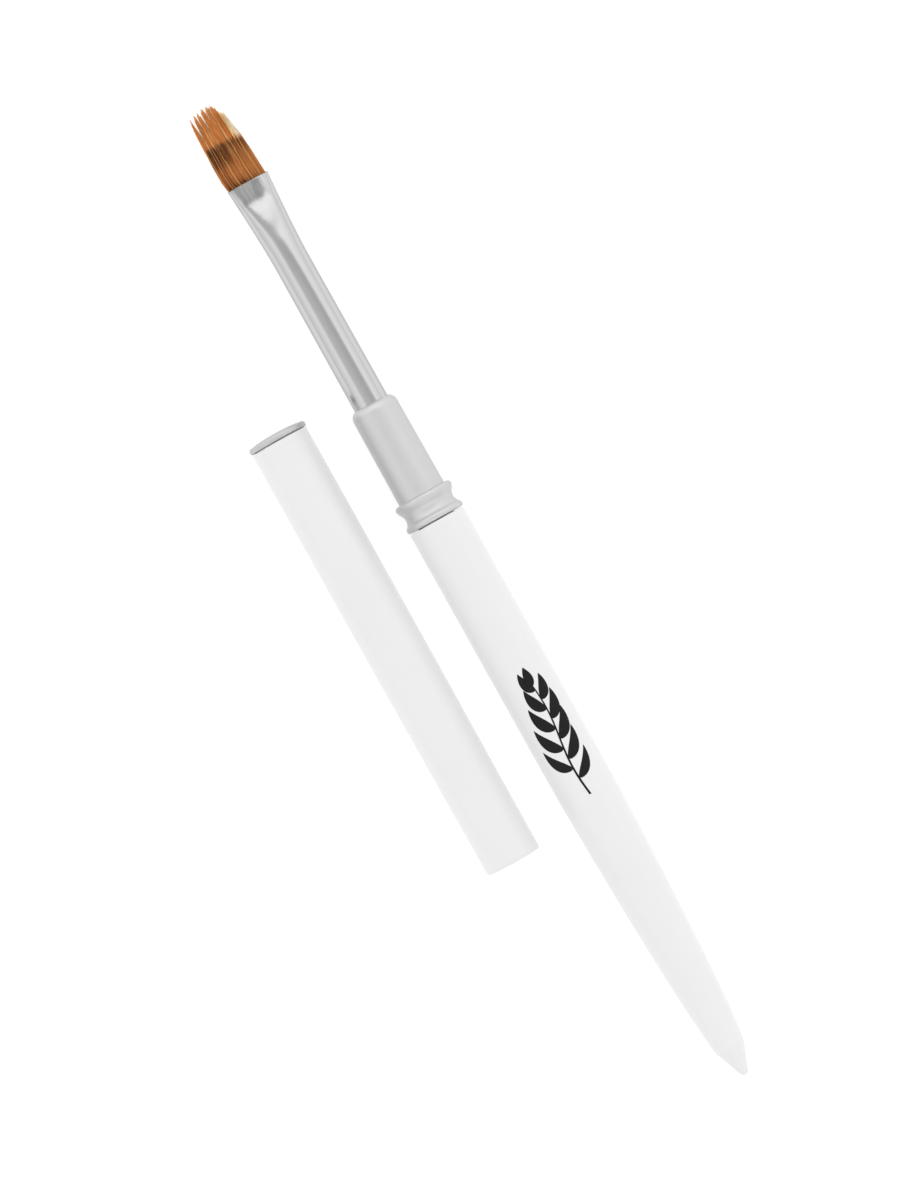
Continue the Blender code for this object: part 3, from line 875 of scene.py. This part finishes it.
def fairness(chance, across):
    """How fair each strand is: nearly all of the worn side, part of the slit's, and the thin lines."""
    count = len(across)
    fair = np.where((across > FAIR_FROM) & (chance.uniform(0.0, 1.0, count) < 0.96), 0.97, 0.0)
    slit = (across > FAIR_SLIT[0]) & (across < FAIR_SLIT[1])
    fair = fair + np.where(slit & (chance.uniform(0.0, 1.0, count) < 0.6), 0.55, 0.0)
    middles, half_widths = np.array(FAIR_LINES).T
    lines = (np.abs(across[:, None] - middles) < half_widths).any(axis=1)
    return fair + np.where(lines, 0.45, 0.0)


def make_strands(finish):
    """Thin three-sided strands from inside the ferrule to the tips. A strand's radius is small at its root,
    full along its belly, and falls to a fine point."""
    chance = np.random.default_rng(11)
    across = chance.uniform(-1.0, 1.0, STRANDS)
    depth = chance.uniform(-1.0, 1.0, STRANDS)
    depth = np.sign(depth) * np.abs(depth) ** 0.6
    locks = np.array(LOCKS)
    lock = locks[np.abs(across[:, None] - locks[None, :]).argmin(axis=1)]
    reach = strand_reach(chance, across, lock)
    share = np.linspace(0.0, 1.0, STRAND_RINGS)[None, :]
    beyond = STRAND_START + (reach[:, None] - STRAND_START) * share
    phase = chance.uniform(0.0, 2 * pi, (2, STRANDS, 1))
    x, z = strand_lines(across, depth, lock, beyond, phase)
    radius = chance.uniform(0.85, 1.15, (STRANDS, 1)) * STRAND_RADIUS
    radius = radius * (1 - 0.86 * eased((share - 0.55) / 0.45)) * (0.85 + 0.15 * eased(share / 0.4))
    corner = (2 * pi * np.arange(STRAND_SIDES) / STRAND_SIDES)[None, None, :] + phase[0][:, :, None]
    grid = np.stack(
        [
            BRUSH_X + x[:, :, None] + radius[:, :, None] * np.cos(corner),
            MOUTH + beyond[:, :, None] + 0 * corner,
            AXIS_HEIGHT + z[:, :, None] + radius[:, :, None] * np.sin(corner),
        ],
        axis=-1,
    )
    per_strand = STRAND_RINGS * STRAND_SIDES
    starts = (per_strand * np.arange(STRANDS))[:, None, None]
    faces = (ring_faces(STRAND_RINGS, STRAND_SIDES)[None] + starts).reshape(-1, 4)
    root = np.arange(STRAND_SIDES)[None, ::-1] + starts[:, 0]
    tip = np.arange(per_strand - STRAND_SIDES, per_strand)[None] + starts[:, 0]
    piece = skin("hair_strands", grid.reshape(-1, 3), [faces, root, tip], finish, sharp_angle=0)

    along = np.repeat(((beyond - TONE_START) / (HAIR_LENGTH - TONE_START)).reshape(-1), STRAND_SIDES)
    own_chance = np.repeat(chance.uniform(0.0, 1.0, STRANDS), per_strand)
    mesh = piece.data
    for name, values in (("side", across), ("pale", fairness(chance, across))):
        layer = mesh.attributes.new(name, "FLOAT", "POINT")
        layer.data.foreach_set("value", np.repeat(values, per_strand).astype(np.float32))
    corners = np.empty(len(mesh.loops), np.int32)
    mesh.loops.foreach_get("vertex_index", corners)
    chart = mesh.uv_layers.new(name="strand")
    uv = np.stack([own_chance, along], axis=1)[corners]
    chart.data.foreach_set("uv", uv.astype(np.float32).ravel())
    return piece


def make_heart(finish):
    """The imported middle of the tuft: sections like an ellipse with fuller sides, a share of the tuft's width
    and thickness, that shrink to a blunt end well short of the tips."""
    sides, rings = 64, 28
    turn = (2 * pi * np.arange(sides) / sides)[None, :]
    beyond = np.linspace(TONE_START, HEART_END, rings)[:, None]
    left, right = tuft_sides(beyond)
    shrunk = 1 - eased((beyond - HEART_SHRINKS_FROM) / 2.7) * 0.55
    half_width = (right - left) / 2 * HEART_SHARE * shrunk
    half_height = HEART_HALF_THICKNESS * (1 - 0.35 * np.clip(beyond / HAIR_LENGTH, 0.0, 1.0)) * shrunk
    full_side = np.abs(np.cos(turn)) ** 0.75 * np.sign(np.cos(turn))
    x = (left + right) / 2 + half_width * full_side
    z = half_height * np.sin(turn)
    grid = np.stack([BRUSH_X + x, MOUTH + beyond + 0 * turn, AXIS_HEIGHT + z], axis=-1).reshape(-1, 3)
    return capped_grid("hair_heart", grid, rings, sides, finish)


# ---------------------------------------------------------------------------
# Cap
# ---------------------------------------------------------------------------

# The tube's outside radius at its mouth, its growth over the first stretch, and the flare at the plug
TUBE_MOUTH_RADIUS = 4.465
TUBE_GROWTH = 0.115
TUBE_GROWTH_RUN = 42.0
TUBE_FLARE = 0.045
TUBE_FLARE_RUN = 0.55
TUBE_OUTER_EDGE = 0.40
TUBE_INNER_EDGE = 0.12

PLUG_RIM_HEIGHT = 0.86
PLUG_DOME_HEIGHT = 0.27
PLUG_FLAT_RADIUS = 2.2
PLUG_RIM_EDGE = 0.40
PLUG_UNDER_EDGE = 0.10


def make_cap_tube(finish):
    """Cap tube: a rounded mouth, an outside that grows a little away from it, and a small flare at the plug,
    which falls off as a bell curve."""
    end = CAP_TUBE_LENGTH
    station = np.linspace(TUBE_OUTER_EDGE + 0.02, end - 0.05, 90)
    flare = TUBE_FLARE * np.exp(-(((end - station) / TUBE_FLARE_RUN) ** 2))
    radius = TUBE_MOUTH_RADIUS + TUBE_GROWTH * eased(station / TUBE_GROWTH_RUN) + flare
    outer, inner = TUBE_OUTER_EDGE, TUBE_INNER_EDGE
    outline = outline_of(
        (CAP_BORE, end),
        (radius[-1] - 0.05, end),
        np.stack([radius, station], axis=1)[::-1],
        arc((radius[0] - outer, outer), outer, 0, -90, step=7.5),
        arc((CAP_BORE + inner, inner), inner, -90, -180, step=15),
        straight((CAP_BORE, 0.3), (CAP_BORE, end - 0.3), 30),
    )
    return turned("cap_sleeve", outline, CAP_X, CAP_MOUTH, finish, is_ring=True)


def make_cap_plug(finish):
    """End plug: a flat middle, a low dome that falls away by the 1.7th power, an eased rim over the tube's
    end, and a chamfered spigot inside it."""
    rim, edge, spigot = PLUG_RADIUS, PLUG_RIM_EDGE, CAP_BORE - PRESS_GAP
    crown = PLUG_RIM_HEIGHT + PLUG_DOME_HEIGHT
    out = np.linspace(0.0, 1.0, 16)
    dome_radius = PLUG_FLAT_RADIUS + (rim - edge - PLUG_FLAT_RADIUS) * out
    dome = np.stack([dome_radius, PLUG_RIM_HEIGHT + PLUG_DOME_HEIGHT * (1 - out**1.7)], axis=1)
    outline = outline_of(
        (0.0, crown),
        straight((0.4, crown), (PLUG_FLAT_RADIUS - 0.1, crown), 5),
        dome,
        arc((rim - edge, PLUG_RIM_HEIGHT - edge), edge, 82, 0, step=6),
        (rim, PLUG_UNDER_EDGE),
        (rim - PLUG_UNDER_EDGE, 0.0),
        (spigot, 0.0),
        (spigot, SPIGOT_CHAMFER - SPIGOT_LENGTH),
        (spigot - SPIGOT_CHAMFER, -SPIGOT_LENGTH),
        (0.0, -SPIGOT_LENGTH),
    )
    return turned("cap_plug", outline, CAP_X, PLUG_SEAT, finish)


# ---------------------------------------------------------------------------
# Printed sprig
# ---------------------------------------------------------------------------

# Distances behind the handle's front, and round the handle from its top
LEAF_PAIRS_START = 43.9
LEAF_SPACING = 1.62
SIDE_LEAVES = 10
LEAF_LENGTH = 4.9
LEAF_HALF_WIDTH = 0.70
LEAF_LEAN = 60
LEAF_BEND = -0.55
END_LEAF_START = 28.6
STEM_REAR = 46.8
STEM_FRONT = 28.3
STEM_HALF_WIDTH = 0.17
STEM_TAPER = 0.07
STEM_WAVE = 0.45
STEM_OFFSET = 0.25
INK_PROUD = 0.022
INK_SUNK = 0.02


def wrapped(around, behind, lift):
    """A flat place on the print, laid on the handle: the distance round it is an arc of the handle's
    circle."""
    radius = handle_radius(behind)
    angle = around / radius
    return np.stack(
        [
            BRUSH_X + (radius + lift) * np.sin(angle),
            HANDLE_FRONT - behind,
            AXIS_HEIGHT + (radius + lift) * np.cos(angle),
        ],
        axis=-1,
    )


def stem_around(behind):
    """How far round the handle the stem lies: a slow wave, a little to one side."""
    return STEM_WAVE * np.sin((behind - 27.0) * 0.31) + STEM_OFFSET


def leaf_places(along, cross):
    """Places (around, behind) of every leaf. A leaf's midrib starts on the stem, leans out to one side and
    bends back, and its half width swells as a power of a sine and falls to a point. The last leaf stands
    straight on the stem's end."""
    number = np.arange(SIDE_LEAVES + 1)
    side = np.where(number % 2 == 0, 1.0, -1.0)
    side[-1] = 0.0
    start = np.append(LEAF_PAIRS_START - LEAF_SPACING * number[:-1], END_LEAF_START)
    length = LEAF_LENGTH + 0.9 * np.sin(pi * (number + 1.0) / 10.0) - 0.14 * number
    half_width = LEAF_HALF_WIDTH + 0.20 * np.sin(pi * (number + 1.0) / 11.0)
    lean = side * np.radians(LEAF_LEAN - 2.0 * number)
    bend = LEAF_BEND * side
    heading = lean[:, None, None] + bend[:, None, None] * (along - 0.3)
    reach = length[:, None, None] * along
    rib_around = stem_around(start)[:, None, None] + reach * np.sin(heading)
    rib_behind = start[:, None, None] - reach * np.cos(heading)
    swell = np.sin(pi * along**0.78) ** 0.85 * half_width[:, None, None]
    return rib_around + cross * swell * np.cos(heading), rib_behind + cross * swell * np.sin(heading)


def strip_faces(long, wide):
    """Faces of one closed strip: quads on its top, the same underneath turned over, and a skirt between. The
    bottom's points follow the top's."""
    cells = long * wide
    row = np.arange(long - 1)[:, None] * wide
    column = np.arange(wide - 1)[None, :]
    first = (row + column).reshape(-1)
    top = np.stack([first, first + 1, first + wide + 1, first + wide], axis=1)
    rim = np.concatenate(
        [
            np.arange(wide - 1),
            wide - 1 + wide * np.arange(long - 1),
            cells - 1 - np.arange(wide - 1),
            cells - wide - wide * np.arange(long - 1),
        ]
    )
    after = np.roll(rim, -1)
    skirt = np.stack([rim, rim + cells, after + cells, after], axis=1)
    return np.concatenate([top, skirt, top[:, ::-1] + cells])


def make_print(finish):
    """A leafy sprig: a waving stem along the handle and its leaves, each a closed strip that stands a few
    hundredths of a millimetre proud of the lacquer."""
    long, wide = 18, 5
    cells = long * wide
    along = np.linspace(0.0, 1.0, long)[None, :, None]
    cross = np.linspace(-1.0, 1.0, wide)[None, None, :]
    leaf_around, leaf_behind = leaf_places(along, cross)
    stem_behind = np.linspace(STEM_REAR, STEM_FRONT, long)[None, :, None]
    stem_width = cross * (STEM_HALF_WIDTH - STEM_TAPER * along)
    around = np.concatenate([leaf_around, stem_around(stem_behind) + stem_width])
    behind = np.concatenate([leaf_behind, stem_behind + 0 * cross])
    strips = len(around)
    top = wrapped(around, behind, INK_PROUD).reshape(strips, cells, 3)
    bottom = wrapped(around, behind, -INK_SUNK).reshape(strips, cells, 3)
    points = np.stack([top, bottom], axis=1).reshape(-1, 3)
    starts = (2 * cells * np.arange(strips))[:, None, None]
    faces = (strip_faces(long, wide)[None] + starts).reshape(-1, 4)
    return skin("handle_print", points, [faces], finish)


# ---------------------------------------------------------------------------
# Table, light and camera
# ---------------------------------------------------------------------------

TABLE_RADIUS = 6000
CAMERA_PLACE = (3.37, 0.53, AXIS_HEIGHT + 900)
CAMERA_TURN = -29.16


def make_table():
    """A round pale table top, lit a little from inside like a light table."""
    material, sheet = new_finish("pale_table")
    cloud = sheet.noise(sheet.place(), scale=8.0, detail=2.0)
    colour = sheet.blend(cloud, grey(0.42), grey(0.44))
    sheet.surface(
        Base_Color=colour,
        Roughness=0.9,
        Specular_IOR_Level=0.0,
        Emission_Color=grey(1.0),
        Emission_Strength=0.68,
    )
    angle = 2 * pi * np.arange(96) / 96
    rim = TABLE_RADIUS * MM * np.stack([np.sin(angle), np.cos(angle), 0 * angle], axis=1)
    mesh = bpy.data.meshes.new("table_top")
    mesh.from_pydata(rim.tolist(), [], [list(range(96))[::-1]])
    mesh.materials.append(material)
    table = bpy.data.objects.new("table_top", mesh)
    bpy.context.scene.collection.objects.link(table)


def make_studio_light():
    """A white tent. Straight above it the opening is darker, fading out on the left and ending in a slanting
    edge on the right and in front, and the right side is a little brighter than the left. A direction is
    placed on a flat ceiling: across and forward are its x and y over its z."""
    world = bpy.data.worlds.new("studio_tent")
    bpy.context.scene.world = world
    world.use_nodes = True
    sheet = Sheet(world.node_tree)
    x, y, z = sheet.apart(sheet.node("ShaderNodeTexCoord", output="Generated"))
    rise = z.at_least(0.02)
    across = x / rise
    forward = y / rise
    left_fade = across.step(-1.0, -0.40)
    front_edge = (forward + 0.30 * across).step(0.304, 0.272)
    rear_fade = forward.step(-0.32, -0.10)
    right_edge = across.step(1.0, 0.9)
    opening = left_fade * front_edge * rear_fade * right_edge
    in_opening = 0.44 + 0.19 * across.step(0.6, -0.7)
    in_opening = in_opening * (1 - 0.20 * forward.step(0.075, 0.15))
    tent = 0.87 + 0.47 * z + 0.05 * x + 0.17 * y.step(0.12, 0.38)
    level = tent * (1 - opening * (1 - in_opening))
    light = sheet.node("ShaderNodeBackground", inputs={"Color": grey(1.0), "Strength": level})
    sheet.node("ShaderNodeOutputWorld", inputs={0: light})


def make_camera():
    """A long lens straight above the table, turned so that the brush leans to the left."""
    camera = bpy.data.objects.new("camera", bpy.data.cameras.new("camera"))
    camera.data.lens = 180
    camera.data.sensor_width = 36
    camera.data.clip_start = 0.05
    camera.data.clip_end = 20
    camera.location = [distance * MM for distance in CAMERA_PLACE]
    camera.rotation_euler = (0.0, 0.0, radians(CAMERA_TURN))
    bpy.context.scene.collection.objects.link(camera)
    bpy.context.scene.camera = camera
    bpy.context.scene.view_settings.view_transform = "Standard"


# ---------------------------------------------------------------------------
# The assembly
# ---------------------------------------------------------------------------

def settle(piece, body, node):
    """Hides the imported node that a piece replaces, and attaches the piece to the body it moves with, where
    it has one.
    """
    if node:
        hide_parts(node)
    if body:
        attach(piece, body)
    return piece


lacquer = lacquer_finish()
ink = ink_finish()
connector_metal = turned_finish("turned_connector", BRUSH_X, 0.625)
plug_metal = turned_finish("turned_plug", CAP_X, 0.575)

settle(make_handle(lacquer), "brush", "handle_shell")
settle(make_print(ink), "brush", None)
settle(make_connector(connector_metal), "brush", "connector")
settle(make_ferrule(drawn_finish()), "brush", "ferrule")
settle(make_cap_tube(lacquer), "cap", "cap_tube")
settle(make_cap_plug(plug_metal), "cap", "cap_end_plug")

# The hair and its heart join no body, and their places are baked into their meshes.
strands = settle(make_strands(hair_finish()), None, "hair_tuft")
heart = settle(make_heart(heart_finish()), None, None)
for piece in (strands, heart):
    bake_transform(piece)

settle(make_resin(resin_finish()), "brush", "hair_root_resin")
settle(make_thread(thread_finish()), "brush", "binding_thread")

make_table()
make_studio_light()
make_camera()
